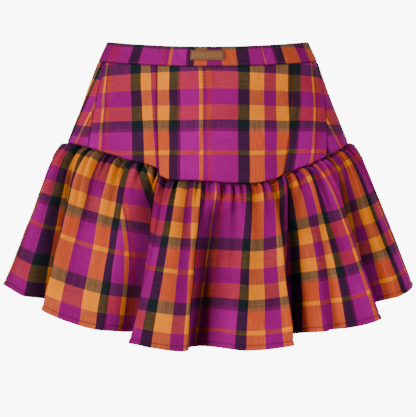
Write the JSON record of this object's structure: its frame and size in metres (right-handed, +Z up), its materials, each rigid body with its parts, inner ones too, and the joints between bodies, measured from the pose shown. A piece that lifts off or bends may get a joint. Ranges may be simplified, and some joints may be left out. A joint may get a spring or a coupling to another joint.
{
  "type": "mini skirt",
  "caption": "Mini skirt in plaid cloth: waistband with a small leather patch, fitted panelled yoke and a gathered flounce, in its hollow filled-out form, open at waist and hem.",
  "frame": {"origin": "middle of the waist ring, halfway up the waistband at the sides, where the wearer's waist holds the skirt", "axes": "+Z up towards the waist, -Y is the front with the patch, +X is the right of someone who looks at the front"},
  "size_m": [0.4969, 0.3651, 0.3613],
  "materials": {
    "band_cloth": "woven plaid, matt with a slight sheen",
    "yoke_cloth": "woven plaid, matt with a slight sheen",
    "flounce_cloth": "woven plaid, matt with a slight sheen",
    "leather": "smooth tan leather, slightly glossy",
    "thread": "spun sewing thread"
  },
  "bodies": {
    "root": {"waistband_front": "band_cloth", "waistband_back_right": "band_cloth", "waistband_back_left": "band_cloth", "patch": "leather", "yoke_front_left": "yoke_cloth", "yoke_front_centre": "yoke_cloth", "yoke_front_right": "yoke_cloth", "yoke_back_right": "yoke_cloth", "yoke_back_left": "yoke_cloth", "flounce_front_left": "flounce_cloth", "flounce_front_centre": "flounce_cloth", "flounce_front_right": "flounce_cloth", "flounce_back_right": "flounce_cloth", "flounce_back_left": "flounce_cloth"}
  },
  "joints": []
}
